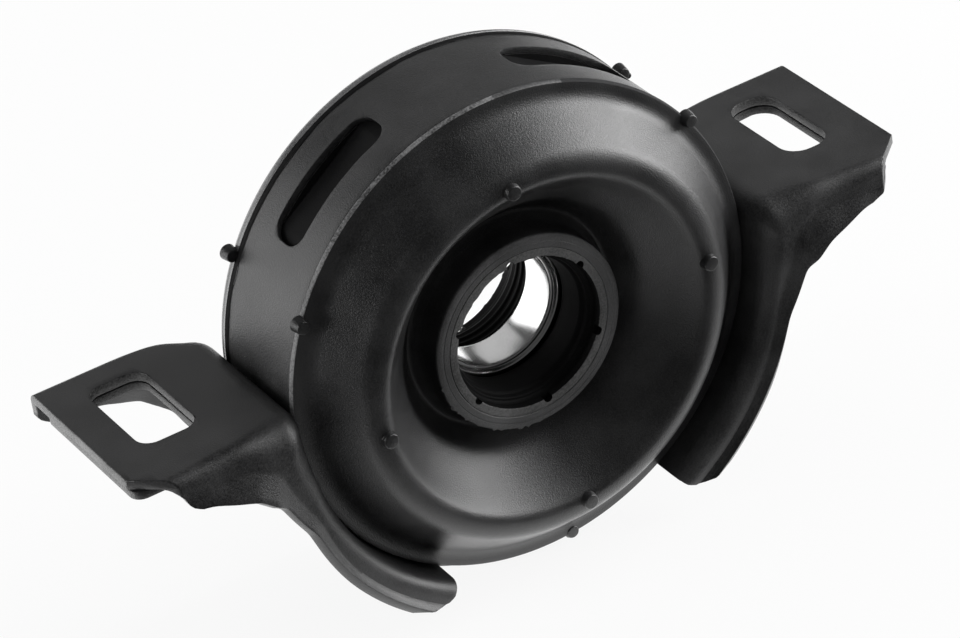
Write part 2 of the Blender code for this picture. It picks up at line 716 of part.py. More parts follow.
def saddle_gap_cutter(name, side):
    """Clears the walls below the ring, where only the strap under it runs from side to side."""
    below = 20 * MM
    start = FLANGE_END
    rounding = smooth_run(
        [
            (SADDLE_RADIUS - 3 * MM, start - math.radians(0.5)),
            (SADDLE_RADIUS + 3 * MM, start + math.radians(0.3)),
            (FLANGE_RADIUS - 1.6 * MM, start + math.radians(2.4)),
            (FLANGE_RADIUS + 0.3 * MM, start + math.radians(6.0)),
            (FLANGE_RADIUS + 2.0 * MM, start + math.radians(9.5)),
        ],
        2,
    )
    right = [(radius * math.cos(angle), radius * math.sin(angle)) for radius, angle in rounding]
    bottom = -FLANGE_RADIUS - below
    inner = -SADDLE_RADIUS * 0.5
    outline = [(0.02, inner)] + right + [(right[-1][0] + 1 * MM, bottom)]
    outline += [(-x, y) for x, y in reversed(outline)]
    depth = 40 * MM
    cutter = add_cutter(name, outline_mesh(name, outline, depth))
    cutter.rotation_euler.x = math.pi / 2
    cutter.location.y = side * (STRAP_HALF_WIDTH + depth / 2)
    return cutter


def make_bracket():
    mesh = pressed_mesh("bracket", ear_stations() + saddle_stations())
    bracket = add_piece("bracket", mesh, BLACK_PAINT)
    mirror = bracket.modifiers.new("other side", "MIRROR")
    mirror.merge_threshold = 0.00001
    give_thickness(bracket, SHEET)
    left_slot = slot_cutter("left_slot", -SLOT_SPREAD, LEFT_SLOT)
    right_slot = slot_cutter("right_slot", SLOT_SPREAD, RIGHT_SLOT)
    left_corner = corner_cutter("left_corner", -1)
    right_corner = corner_cutter("right_corner", 1)
    ends = [wall_end_cutter("left_end", -1), wall_end_cutter("right_end", 1)]
    gaps = [saddle_gap_cutter("front_gap", -1), saddle_gap_cutter("rear_gap", 1)]
    for cutter in (left_slot, right_slot, left_corner, right_corner, *ends, *gaps):
        cut(bracket, cutter)
    middle = STIFFENER_END - STIFFENER_LENGTH / 2
    outline = rounded_rectangle(STIFFENER_LENGTH, 2 * STIFFENER_HALF_WIDTH, STIFFENER_CORNER)
    height = SEAT_HEIGHT - SHEET - FIT_GAP - STIFFENER_SHEET / 2
    for name, side, cutter in (("left_stiffener", -1, left_slot), ("right_stiffener", 1, right_slot)):
        mesh = outline_mesh(name, outline, STIFFENER_SHEET)
        mesh.transform(Matrix.Translation((side * middle, 0, height)))
        cut(add_piece(name, mesh, BLACK_PAINT), cutter)


make_races()
make_shields()
make_balls()
make_cage()
make_sleeve()
make_dust_seals()
make_cushion()
make_ring()
make_bracket()
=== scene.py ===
import math

import bpy
import numpy as np
from mathutils import Matrix, Vector
from mathutils.bvhtree import BVHTree


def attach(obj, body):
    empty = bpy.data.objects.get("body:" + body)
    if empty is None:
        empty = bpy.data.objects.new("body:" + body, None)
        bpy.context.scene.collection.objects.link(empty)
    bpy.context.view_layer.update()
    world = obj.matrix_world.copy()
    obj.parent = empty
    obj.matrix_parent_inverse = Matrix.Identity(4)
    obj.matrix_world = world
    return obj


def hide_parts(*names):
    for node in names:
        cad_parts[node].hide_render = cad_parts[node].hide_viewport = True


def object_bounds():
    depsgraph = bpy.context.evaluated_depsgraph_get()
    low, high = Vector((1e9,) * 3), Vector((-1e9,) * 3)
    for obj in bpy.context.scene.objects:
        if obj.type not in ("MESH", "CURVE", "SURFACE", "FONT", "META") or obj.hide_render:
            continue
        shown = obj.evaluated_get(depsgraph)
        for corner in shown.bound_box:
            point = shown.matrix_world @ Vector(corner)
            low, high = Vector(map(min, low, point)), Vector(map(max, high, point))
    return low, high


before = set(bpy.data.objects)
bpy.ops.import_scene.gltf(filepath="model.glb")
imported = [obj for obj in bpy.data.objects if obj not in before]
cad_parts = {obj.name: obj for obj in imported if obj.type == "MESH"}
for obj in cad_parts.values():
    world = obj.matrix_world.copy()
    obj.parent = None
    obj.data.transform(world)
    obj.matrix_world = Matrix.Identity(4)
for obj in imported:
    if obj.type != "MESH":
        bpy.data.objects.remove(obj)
cad_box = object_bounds()

# The view. A plain white table under soft studio lamps, with the camera above the left front and
# tipped a little, so that the left ear comes forward and the bore's front end looks right and down.
for leftover in ("Cube", "Light", "Camera"):
    if leftover in bpy.data.objects:
        bpy.data.objects.remove(bpy.data.objects[leftover])
bpy.context.scene.view_settings.view_transform = "Standard"

view = bpy.data.cameras.new("camera")
view.sensor_width = 36
view.lens = 175.86
camera = bpy.data.objects.new("camera", view)
camera.matrix_world = Matrix((
    (0.84195, 0.38033, -0.38271, -0.42638),
    (-0.52323, 0.40236, -0.75122, -0.83330),
    (-0.13173, 0.83274, 0.53777, 0.58300),
    (0, 0, 0, 1),
))
bpy.context.scene.collection.objects.link(camera)
bpy.context.scene.camera = camera


def add_node(tree, kind, sockets=None, **settings):
    """A shader node with its settings and the values of its unlinked sockets."""
    made = tree.nodes.new(kind)
    for name, value in settings.items():
        setattr(made, name, value)
    for name, value in (sockets or {}).items():
        made.inputs[name].default_value = value
    return made


def new_material(name, sockets):
    """A material with one Principled shader, and that shader."""
    material = bpy.data.materials.new(name)
    material.use_nodes = True
    shader = material.node_tree.nodes["Principled BSDF"]
    for socket, value in sockets.items():
        shader.inputs[socket].default_value = value
    return material, shader


def start_fresh():
    """Back to object mode with nothing selected."""
    if bpy.context.object and bpy.context.object.mode != "OBJECT":
        bpy.ops.object.mode_set(mode="OBJECT")
    bpy.ops.object.select_all(action="DESELECT")


start_fresh()
table_gap = 0.0006
bpy.ops.mesh.primitive_plane_add(size=6, location=(0, 0, cad_box[0][2] - table_gap))
table = bpy.context.object
table.name = "table"
bpy.ops.object.transform_apply(location=True, rotation=True, scale=True)
table_white, shader = new_material("table_white", {"Base Color": (0.55, 0.55, 0.55, 1), "Roughness": 0.75})
tree = table_white.node_tree
where = add_node(tree, "ShaderNodeTexCoord")
mottle = add_node(tree, "ShaderNodeTexNoise", {"Scale": 40, "Detail": 4})
soft = add_node(tree, "ShaderNodeBump", {"Strength": 0.05, "Distance": 0.0004})
tree.links.new(where.outputs["Object"], mottle.inputs["Vector"])
tree.links.new(mottle.outputs["Fac"], soft.inputs["Height"])
tree.links.new(soft.outputs["Normal"], shader.inputs["Normal"])

# The camera sees the table white. Reflections see it dark in front of the object and bright behind it.
glow = add_node(tree, "ShaderNodeEmission", {"Color": (1, 1, 1, 1)})
ray = add_node(tree, "ShaderNodeLightPath")
apart = add_node(tree, "ShaderNodeSeparateXYZ")
reflected = add_node(
    tree, "ShaderNodeMapRange", {"From Min": -0.08, "From Max": -0.05, "To Min": 0.05, "To Max": 1.9},
)
level = add_node(tree, "ShaderNodeMapRange", {"To Max": 1.0})
tree.links.new(where.outputs["Object"], apart.inputs["Vector"])
tree.links.new(apart.outputs["Y"], reflected.inputs["Value"])
tree.links.new(reflected.outputs["Result"], level.inputs["To Min"])
tree.links.new(ray.outputs["Is Camera Ray"], level.inputs["Value"])
tree.links.new(level.outputs["Result"], glow.inputs["Strength"])
either = add_node(tree, "ShaderNodeMath", operation="MAXIMUM")
partly = add_node(tree, "ShaderNodeMath", {1: 0.9}, operation="MULTIPLY")
blend = add_node(tree, "ShaderNodeMixShader")
tree.links.new(ray.outputs["Is Camera Ray"], either.inputs[0])
tree.links.new(ray.outputs["Is Glossy Ray"], either.inputs[1])
tree.links.new(either.outputs["Value"], partly.inputs[0])
tree.links.new(partly.outputs["Value"], blend.inputs["Fac"])
tree.links.new(shader.outputs["BSDF"], blend.inputs[1])
tree.links.new(glow.outputs["Emission"], blend.inputs[2])
tree.links.new(blend.outputs["Shader"], tree.nodes["Material Output"].inputs["Surface"])
table.data.materials.append(table_white)

studio = bpy.data.worlds.new("studio")
bpy.context.scene.world = studio
studio.use_nodes = True
tree = studio.node_tree
around = tree.nodes["Background"]
around.inputs["Color"].default_value = (1, 1, 1, 1)
ray = add_node(tree, "ShaderNodeLightPath")
ambient = add_node(tree, "ShaderNodeMapRange", {"To Min": 0.07, "To Max": 0.7})
level = add_node(tree, "ShaderNodeMapRange", {"To Max": 1.0})
tree.links.new(ray.outputs["Is Diffuse Ray"], ambient.inputs["Value"])
tree.links.new(ambient.outputs["Result"], level.inputs["To Min"])
tree.links.new(ray.outputs["Is Camera Ray"], level.inputs["Value"])
tree.links.new(level.outputs["Result"], around.inputs["Strength"])

for name, spot, aim, width, height, power in (
    ("right_softbox", (1.27, -0.27, 0.42), (0, 0, 0), 0.8, 1.3, 40),
    ("back_softbox", (0.25, 0.95, 0.62), (0, 0, 0), 1.1, 0.7, 1.3),
    ("left_softbox", (-0.78, 0.95, 0.28), (0, 0, 0), 0.8, 0.8, 4.6),
    ("left_strip", (-1.18, 0.18, 0.26), (0, 0, 0), 0.3, 0.6, 6.0),
):
    lamp = bpy.data.lights.new(name, "AREA")
    lamp.shape = "RECTANGLE"
    lamp.size = width
    lamp.size_y = height
    lamp.energy = power
    holder = bpy.data.objects.new(name, lamp)
    holder.location = spot
    holder.rotation_euler = (Vector(aim) - Vector(spot)).to_track_quat("-Z", "Y").to_euler()
    bpy.context.scene.collection.objects.link(holder)

# The bracket. One pressing of 2.5 mm steel sheet: two flat ears with their sides turned down, a saddle
# round the ring between them, and a strap under it. Satin black, thin in the slots, bare at the tips.
mm = 0.001
ear_height = 8.4
shaft = -ear_height * mm
sheet = 2.5
saddle_radius = 62.4
saddle_bend = 5.0
ear_reach = 106.0
bend_middle = math.sqrt((saddle_radius + saddle_bend) ** 2 - (ear_height - saddle_bend) ** 2)
saddle_top = math.atan2(ear_height - saddle_bend, bend_middle)
flat_length = ear_reach - bend_middle
bend_length = saddle_bend * (math.pi / 2 - saddle_top)
path_length = flat_length + bend_length + saddle_radius * (saddle_top + math.pi / 2)


def along_bracket(run):
    """Where the outer face lies at this distance from the ear's tip, and which way is down from it."""
    if run <= flat_length:
        return Vector((ear_reach - run, ear_height)), Vector((0, -1))
    if run <= flat_length + bend_length:
        turn = math.pi / 2 + (run - flat_length) / saddle_bend
        way = Vector((math.cos(turn), math.sin(turn)))
        return Vector((bend_middle, ear_height - saddle_bend)) + saddle_bend * way, -way
    angle = saddle_top - (run - flat_length - bend_length) / saddle_radius
    way = Vector((math.cos(angle), math.sin(angle)))
    return saddle_radius * way, way


# Each row: distance from the tip, lower edge of the wall (distance from the middle and height over the
# shaft), front bend, rear bend, half width at the front and flare. The first rows are the ear, the next
# follow the slope of the wall down to its corner, and the last go round the saddle.
edge_rows = [
    (0.0, 106.0, 2.4, 3.0, 2.4, 28.2, 0.0), (0.7, 105.4, 1.2, 3.0, 2.4, 28.2, 0.0),
    (1.5, 104.6, 0.3, 3.0, 2.4, 28.1, 0.0), (3.8, 102.2, -0.9, 3.0, 2.4, 28.0, 0.0),
    (11.0, 95.0, -1.2, 3.4, 2.4, 27.8, 0.3), (16.0, 90.0, -1.4, 3.8, 2.4, 27.5, 0.9),
    (21.0, 85.0, -3.3, 4.2, 2.4, 27.2, 1.6), (27.0, 79.0, -5.0, 4.5, 2.4, 27.0, 2.3),
]
bracket_half_width = 27.0
slope_run = 27.0
slope_start = Vector((79.0, -5.0))
slope_end = Vector((72.2, -10.8))
slope_length = flat_length - slope_run + bend_length
slope_steps = 12
wall_bend = 4.5
corner_bend = 8.6
rear_bend_at_ear = 2.4
rear_bend_at_corner = 9.8
wall_flare = 2.3
saddle_flare = 1.2
for step in range(1, slope_steps + 1):
    share = step / slope_steps
    run = slope_run + slope_length * step / slope_steps
    corner_share = min(1.0, slope_length * share / (flat_length - slope_run))
    past = max(0.0, (run - flat_length) / bend_length)
    spot = slope_start.lerp(slope_end, share)
    edge_rows.append((
        run, spot.x, spot.y, wall_bend + (corner_bend - wall_bend) * corner_share,
        rear_bend_at_ear + (rear_bend_at_corner - rear_bend_at_ear) * corner_share**3,
        bracket_half_width, wall_flare - (wall_flare - saddle_flare) * past,
    ))
flange_radius = 69.3
rear_bend_at_saddle = 10.4
lag = saddle_top - math.atan2(slope_end.y, slope_end.x)
lag_fades_over = math.radians(38)
corner_fades_over = math.radians(14)
saddle_steps = 48
for step in range(1, saddle_steps + 1):
    turn = (saddle_top + math.pi / 2) * step / saddle_steps
    swing = max(0.0, 1 - turn / lag_fades_over)
    reach = max(0.0, 1 - turn / corner_fades_over)
    radius = flange_radius + (slope_end.length - flange_radius) * reach
    angle = saddle_top - turn - lag * swing
    edge_rows.append((
        flat_length + bend_length + saddle_radius * turn, radius * math.cos(angle), radius * math.sin(angle),
        wall_bend + (corner_bend - wall_bend) * reach, wall_bend + (rear_bend_at_saddle - wall_bend) * reach,
        bracket_half_width, saddle_flare,
    ))

# The rows are eased into one another, except at the tip, and read off where the mesh needs them.
edge_table = np.array(edge_rows)
tip_length = 12.0
tip_step = 0.8
run_step = 1.25
tip_runs = np.arange(0.0, tip_length, tip_step)
runs = np.concatenate([tip_runs, np.arange(tip_length, path_length, run_step), [path_length]])
fine_step = 0.1
fine_runs = np.arange(0.0, path_length + fine_step / 2, fine_step)
blur_width = 16.0
blur_reach = 50
blur = np.exp(-0.5 * (np.arange(-blur_reach, blur_reach + 1) / blur_width) ** 2)
sharp_tip = 2.0
shapes = []
for column in range(1, edge_table.shape[1]):
    fine = np.interp(fine_runs, edge_table[:, 0], edge_table[:, column])
    head = fine[0] + (fine[1] - fine[0]) * np.arange(-blur_reach, 0)
    tail = fine[-1] + (fine[-1] - fine[-2]) * np.arange(1, blur_reach + 1)
    eased = np.convolve(np.concatenate([head, fine, tail]), blur / blur.sum(), mode="valid")
    keep = np.clip(fine_runs / sharp_tip, 0, 1)
    shapes.append(np.interp(runs, fine_runs, fine * (1 - keep) + eased * keep))
bend_points = 8
middle_points = 9
wall_lead = 3.6
wall_points = 60


def half_section(wall, bend, half_width, flare):
    """(x, distance from the middle, z) down one side: round the bend, down the wall and out to its lip."""
    lengths = [0.0]
    for before, after in zip(wall, wall[1:]):
        lengths.append(lengths[-1] + (after - before).length)
    total = lengths[-1]
    crease = max(bend + 1.0, total - 2.2 - 1.4 * flare)
    marks = []
    for i in range(bend_points + 1):
        turn = math.pi / 2 * i / bend_points
        marks.append((bend * (1 - math.cos(turn)), half_width - bend + bend * math.sin(turn)))
    room = 0.9
    upper = [bend + (crease - room - bend) * i / 4 for i in range(1, 5)]
    lower = [crease + room + (total - crease - room) * i / 4 for i in range(5)]
    marks += [(down, half_width) for down in upper + [crease - room / 3, crease + room / 3] + lower]
    softness = 0.003
    full = 2.0015
    places = []
    for down, across in marks:
        out = (down - crease) / (total - crease)
        x = np.interp(down, lengths, [point.x for point in wall])
        z = np.interp(down, lengths, [point.y for point in wall])
        places.append((x, across + flare * (out + math.sqrt(out * out + softness)) / full, z))
    return places


rear_width_runs = (0, 20, 24, 30, 36, 40)
rear_half_widths = (28.3, 28.3, 28.2, 27.6, 27.05, 27.0)
front_flare_share = 1.5
rear_flare_share = 0.6
rows = []
for index, run in enumerate(runs):
    spot, way = along_bracket(float(run))
    edge_x, edge_z, front_bend, rear_bend, half_width, flare = (float(shape[index]) for shape in shapes)
    lead = spot + way * wall_lead
    end = Vector((edge_x, edge_z))
    shares = [i / wall_points for i in range(wall_points + 1)]
    wall = [spot * (1 - v) ** 2 + lead * 2 * v * (1 - v) + end * v * v for v in shares]
    front = half_section(wall, front_bend, half_width, flare * front_flare_share)
    rear_half_width = float(np.interp(run, rear_width_runs, rear_half_widths))
    rear = half_section(wall, rear_bend, rear_half_width, flare * rear_flare_share)
    row = [(x, -y, z) for x, y, z in reversed(front)]
    start, stop = row[-1][1], rear[0][1]
    for i in range(1, middle_points + 1):
        row.append((spot.x, start + (stop - start) * i / (middle_points + 1), spot.y))
    rows.append(row + rear)

start_fresh()
across = len(rows[0])
bpy.ops.mesh.primitive_grid_add(x_subdivisions=len(rows) - 1, y_subdivisions=across - 1, size=2)
bracket = bpy.context.object
bracket.name = "pressed_bracket"
bracket.data.name = "pressed_bracket"
for vertex in bracket.data.vertices:
    i = round((vertex.co.x + 1) / 2 * (len(rows) - 1))
    j = round((vertex.co.y + 1) / 2 * (across - 1))
    x, y, z = rows[i][j]
    vertex.co = (x * mm, y * mm, z * mm + shaft)
bpy.ops.object.mode_set(mode="EDIT")
bpy.ops.mesh.select_all(action="SELECT")
bpy.ops.mesh.flip_normals()
bpy.ops.object.mode_set(mode="OBJECT")


def apply_modifier(piece, name, kind, **settings):
    """One modifier, applied at once."""
    bpy.context.view_layer.objects.active = piece
    made = piece.modifiers.new(name, kind)
    for key, value in settings.items():
        setattr(made, key, value)
    bpy.ops.object.modifier_apply(modifier=made.name)


apply_modifier(bracket, "other_side", "MIRROR", use_axis=(True, False, False), merge_threshold=0.00002)
apply_modifier(bracket, "sheet", "SOLIDIFY", thickness=sheet * mm, offset=-1, use_even_offset=True)


def cut_away(piece, tool):
    """Takes the tool's shape out of the piece and removes the tool."""
    apply_modifier(piece, tool.name, "BOOLEAN", object=tool, operation="DIFFERENCE", solver="EXACT")
    bpy.data.objects.remove(tool)


def prism(name, outline, near, far, standing=False):
    """A tool from an outline in millimetres, from near to far: through Z, or, standing, through Y."""
    start_fresh()
    bpy.ops.mesh.primitive_circle_add(vertices=len(outline), radius=1, fill_type="NGON")
    tool = bpy.context.object
    tool.name = name
    for vertex, (a, b) in zip(tool.data.vertices, outline):
        vertex.co = (a * mm, near * mm, b * mm + shaft) if standing else (a * mm, b * mm, near * mm + shaft)
    push = (0, (far - near) * mm, 0) if standing else (0, 0, (far - near) * mm)
    bpy.ops.object.mode_set(mode="EDIT")
    bpy.ops.mesh.select_all(action="SELECT")
    bpy.ops.mesh.extrude_region_move(TRANSFORM_OT_translate={"value": push})
    bpy.ops.mesh.select_all(action="SELECT")
    bpy.ops.mesh.normals_make_consistent(inside=False)
    bpy.ops.object.mode_set(mode="OBJECT")
    return tool


def rounded_block(name, width, length, height, corner, segments=8):
    """A block about the origin, in millimetres, with its four upright edges rounded."""
    start_fresh()
    bpy.ops.mesh.primitive_cube_add(size=1)
    block = bpy.context.object
    block.name = name
    block.scale = (width * mm, length * mm, height * mm)
    bpy.ops.object.transform_apply(location=True, rotation=True, scale=True)
    bpy.ops.object.mode_set(mode="EDIT")
    bpy.ops.mesh.select_all(action="DESELECT")
    bpy.ops.object.mode_set(mode="OBJECT")
    for edge in block.data.edges:
        a, b = (block.data.vertices[i].co for i in edge.vertices)
        edge.select = abs(a.z - b.z) > height * mm / 2
    bpy.ops.object.mode_set(mode="EDIT")
    bpy.ops.mesh.select_mode(type="EDGE")
    bpy.ops.mesh.bevel(offset=corner * mm, segments=segments, affect="EDGES")
    bpy.ops.object.mode_set(mode="OBJECT")
    return block


slots = {"left": (-1, 14.8, 4.0), "right": (1, 12.5, 5.4)}
slot_length = 29.4
slot_along = 4.3
slot_spread = 89.0
slot_tool_height = 40
through = 60.0


def slot_tool(side):
    """The block that cuts this side's slot."""
    sign, width, corner = slots[side]
    tool = rounded_block(f"{side}_slot", width, slot_length, slot_tool_height, corner)
    tool.data.transform(Matrix.Translation((sign * slot_spread * mm, slot_along * mm, 0)))
    return tool


# The cut corner of each ear starts here on the front edge and is this much further back at the tip. Each
# tool reaches well past what it cuts.
front_edge = -29.3
corner_start = 95.1
corner_back = 9.9
overreach = 20.0
corner_slope = corner_back / (ear_reach - corner_start)
outside_ear = ear_reach + overreach
cut_corner = [
    (outside_ear, front_edge + corner_back + overreach * corner_slope),
    (corner_start - overreach, front_edge - overreach * corner_slope), (outside_ear, front_edge - overreach),
]
front_wall = -25.0
wall_top = 5.8
wall_ends = {
    "left": [
        (99.4, wall_top), (98.2, 5.1), (97.0, 3.9), (96.1, 2.7), (95.6, 1.5), (95.1, 0.5), (94.3, -0.4),
        (93.2, -1.0), (91.8, -1.6),
    ],
    "right": [
        (99.6, wall_top), (99.2, 5.1), (98.9, 4.2), (98.8, 2.8), (98.3, 1.4), (97.3, 0.3), (96.0, -0.4),
        (94.0, -1.0), (92.4, -1.5),
    ],
}
for side, (sign, _, _) in slots.items():
    cut_away(bracket, slot_tool(side))
    cut_away(bracket, prism(f"{side}_corner", [(sign * x, y) for x, y in cut_corner], -through, through))
    end = wall_ends[side]
    end = end + [(end[-1][0], -overreach), (outside_ear, -overreach), (outside_ear, wall_top)]
    end = [(sign * x, z) for x, z in end]
    cut_away(bracket, prism(f"{side}_wall_end", end, front_wall, -through, standing=True))

strap_half_width = 11.5
gap_edge = [
    (59.4, -60.5), (61.6, -60.3), (63.6, -60.0), (65.5, -59.5), (67.2, -58.4), (68.3, -56.8), (69.2, -54.8),
    (70.2, -52.4), (71.6, -49.6),
]
gap = [(0.0, -30.0)]
for radius, angle in gap_edge:
    gap.append((radius * math.cos(math.radians(angle)), radius * math.sin(math.radians(angle))))
gap.append((gap[-1][0] + 1, -95.0))
gap += [(-x, z) for x, z in reversed(gap[1:])]
for side, sign in (("front", -1), ("rear", 1)):
    cut_away(bracket, prism(f"{side}_gap", gap, sign * strap_half_width, sign * through, standing=True))


smooth_angle = math.radians(32)


def select_only(piece):
    """Object mode, with this piece alone selected and active."""
    start_fresh()
    piece.select_set(True)
    bpy.context.view_layer.objects.active = piece


def ease_edges(piece, width, segments=2, angle=35):
    """Breaks the sharp edges, draws back any corner that this throws out, and shades the rest smooth."""
    corners = [vertex.co.copy() for vertex in piece.data.vertices]
    sharp = BVHTree.FromPolygons(corners, [face.vertices for face in piece.data.polygons])
    apply_modifier(
        piece, "broken_edges", "BEVEL", width=width * mm, segments=segments, limit_method="ANGLE",
        angle_limit=math.radians(angle), use_clamp_overlap=False, harden_normals=False,
        miter_outer="MITER_SHARP",
    )
    for vertex in piece.data.vertices:
        nearest, _, _, away = sharp.find_nearest(vertex.co)
        if away > 0.5 * width * mm:
            vertex.co = nearest
    select_only(piece)
    bpy.ops.object.shade_smooth_by_angle(angle=smooth_angle)


def merge_close(piece, reach):
    """Joins corners that a cut has left closer together than this."""
    select_only(piece)
    bpy.ops.object.mode_set(mode="EDIT")
    bpy.ops.mesh.select_all(action="SELECT")
    bpy.ops.mesh.remove_doubles(threshold=reach * mm)
    bpy.ops.mesh.dissolve_degenerate(threshold=0.05 * mm)
    bpy.ops.object.mode_set(mode="OBJECT")


merge_close(bracket, 0.16)
ease_edges(bracket, 0.26)

grain = bpy.data.node_groups.new("surface_grain", "ShaderNodeTree")
for name, kind in (("Grain Size", "NodeSocketFloat"), ("Depth", "NodeSocketFloat")):
    grain.interface.new_socket(name, in_out="INPUT", socket_type=kind)
for name, kind in (
    ("Speckle", "NodeSocketFloat"), ("Clouds", "NodeSocketFloat"), ("Normal", "NodeSocketVector"),
):
    grain.interface.new_socket(name, in_out="OUTPUT", socket_type=kind)
given = add_node(grain, "NodeGroupInput")
result = add_node(grain, "NodeGroupOutput")
where = add_node(grain, "ShaderNodeTexCoord")
invert = add_node(grain, "ShaderNodeMath", {0: 1.0}, operation="DIVIDE")
fine_noise = add_node(grain, "ShaderNodeTexNoise", {"Detail": 3, "Roughness": 0.6})
broad_noise = add_node(grain, "ShaderNodeTexNoise", {"Scale": 70, "Detail": 5, "Roughness": 0.55})
relief = add_node(grain, "ShaderNodeBump", {"Distance": 0.00013})
grain.links.new(given.outputs["Grain Size"], invert.inputs[1])
grain.links.new(invert.outputs["Value"], fine_noise.inputs["Scale"])
grain.links.new(where.outputs["Object"], fine_noise.inputs["Vector"])
grain.links.new(where.outputs["Object"], broad_noise.inputs["Vector"])
grain.links.new(fine_noise.outputs["Fac"], relief.inputs["Height"])
grain.links.new(given.outputs["Depth"], relief.inputs["Strength"])
grain.links.new(fine_noise.outputs["Fac"], result.inputs["Speckle"])
grain.links.new(broad_noise.outputs["Fac"], result.inputs["Clouds"])
grain.links.new(relief.outputs["Normal"], result.inputs["Normal"])


def grained(name, dark, light, smooth, rough, size, depth, extra=None):
    """A finish over a fine grain, whose colour and roughness wander together between two values each."""
    material, shader = new_material(name, extra or {})
    tree = material.node_tree
    texture = add_node(tree, "ShaderNodeGroup", node_tree=grain)
    texture.inputs["Grain Size"].default_value = size * mm
    texture.inputs["Depth"].default_value = depth
    both = add_node(tree, "ShaderNodeMath", operation="ADD")
    colour = add_node(
        tree, "ShaderNodeMapRange", {"From Min": 0.78, "From Max": 1.22, "To Min": 0, "To Max": 1},
    )
    tint = add_node(tree, "ShaderNodeMix", data_type="RGBA")
    tint.inputs["A"].default_value = (*dark, 1)
    tint.inputs["B"].default_value = (*light, 1)
    polish = add_node(
        tree, "ShaderNodeMapRange", {"From Min": 0.35, "From Max": 0.65, "To Min": smooth, "To Max": rough},
    )
    tree.links.new(texture.outputs["Speckle"], both.inputs[0])
    tree.links.new(texture.outputs["Clouds"], both.inputs[1])
    tree.links.new(both.outputs["Value"], colour.inputs["Value"])
    tree.links.new(colour.outputs["Result"], tint.inputs["Factor"])
    tree.links.new(tint.outputs["Result"], shader.inputs["Base Color"])
    blended = add_node(tree, "ShaderNodeMath", {1: 0.5}, operation="MULTIPLY")
    tree.links.new(both.outputs["Value"], blended.inputs[0])
    tree.links.new(blended.outputs["Value"], polish.inputs["Value"])
    tree.links.new(polish.outputs["Result"], shader.inputs["Roughness"])
    tree.links.new(texture.outputs["Normal"], shader.inputs["Normal"])
    return material


satin_paint = grained("satin_paint", (0.004, 0.004, 0.0044), (0.023, 0.023, 0.0235), 0.33, 0.53, 0.4, 0.5)
sheared_steel = grained(
    "sheared_steel", (0.015, 0.015, 0.015), (0.2, 0.2, 0.2), 0.35, 0.6, 0.45, 1.0, {"Metallic": 0.4},
)
thin_paint = grained(
    "thin_paint", (0.006, 0.006, 0.006), (0.075, 0.075, 0.075), 0.4, 0.6, 0.45, 1.0, {"Metallic": 0.2},
)


def bare_edges(piece, tip):
    """Thin paint on the walls of the slots, and bare steel on what faces out beyond this distance."""
    finishes = [satin_paint, sheared_steel, thin_paint]
    piece.data.materials.clear()
    for finish in finishes:
        piece.data.materials.append(finish)
    margin = 0.15
    for face in piece.data.polygons:
        x, y, z = face.center / mm
        half_width = slots["left" if x < 0 else "right"][1] / 2
        beside_slot = abs(abs(x) - slot_spread) < half_width + margin
        in_slot = beside_slot and abs(y - slot_along) < slot_length / 2 + margin
        at_tip = abs(x) > tip and abs(face.normal.x) > 0.3
        if z > -5 and (in_slot and abs(face.normal.z) < 0.5 or at_tip):
            face.material_index = finishes.index(thin_paint if in_slot else sheared_steel)


bare_edges(bracket, 104.5)
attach(bracket, "housing")
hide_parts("bracket")

# The stiffeners. A flat plate of 2.1 mm sheet lies under each ear, with the same slot through it and
# painted with the bracket. The right one has its corner cut off like the ear's.
plate_inside = 78.5
plate_tip = 105.6
plate_width = 27.1
plate_length = 44.8
plate_sheet = 2.1
plate_corner = 3.2
seat_gap = 0.3
for side, (sign, _, _) in slots.items():
    plate_name = f"{side}_stiffener_plate"
    stiffener = rounded_block(plate_name, plate_width, plate_length, plate_sheet, plate_corner)
    middle = sign * (plate_inside + plate_tip) / 2
    height = ear_height - sheet - seat_gap - plate_sheet / 2
    stiffener.data.transform(Matrix.Translation((middle * mm, 0, height * mm + shaft)))
    cut_away(stiffener, slot_tool(side))
    if side == "right":
        shifted = [(x - 2.4, y + 1.6) for x, y in cut_corner]
        cut_away(stiffener, prism("right_plate_corner", shifted, -through, through))
    ease_edges(stiffener, 0.25)
    bare_edges(stiffener, 105.2)
    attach(stiffener, "housing")
    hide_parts(f"{side}_stiffener")

# The ring. A band rolled from 1.6 mm steel, with two rounded windows punched through its upper side,
# and painted dark. The rubber is moulded inside it and over both of its edges.


def turn_on_shaft(name, profile, steps):
    """Spins a closed outline of (radius, distance along the shaft) in millimetres round the shaft."""
    start_fresh()
    bpy.ops.mesh.primitive_circle_add(vertices=len(profile), radius=1)
    piece = bpy.context.object
    piece.name = name
    piece.data.name = name
    for vertex, (radius, along) in zip(piece.data.vertices, profile):
        vertex.co = (radius * mm, along * mm, shaft)
    bpy.ops.object.mode_set(mode="EDIT")
    bpy.ops.mesh.select_all(action="SELECT")
    bpy.ops.mesh.spin(steps=steps, angle=2 * math.pi, center=(0, 0, shaft), axis=(0, 1, 0))
    bpy.ops.mesh.select_all(action="SELECT")
    bpy.ops.mesh.remove_doubles(threshold=0.000001)
    bpy.ops.mesh.normals_make_consistent(inside=False)
    bpy.ops.object.mode_set(mode="OBJECT")
    bpy.ops.object.shade_smooth_by_angle(angle=smooth_angle)
    return piece


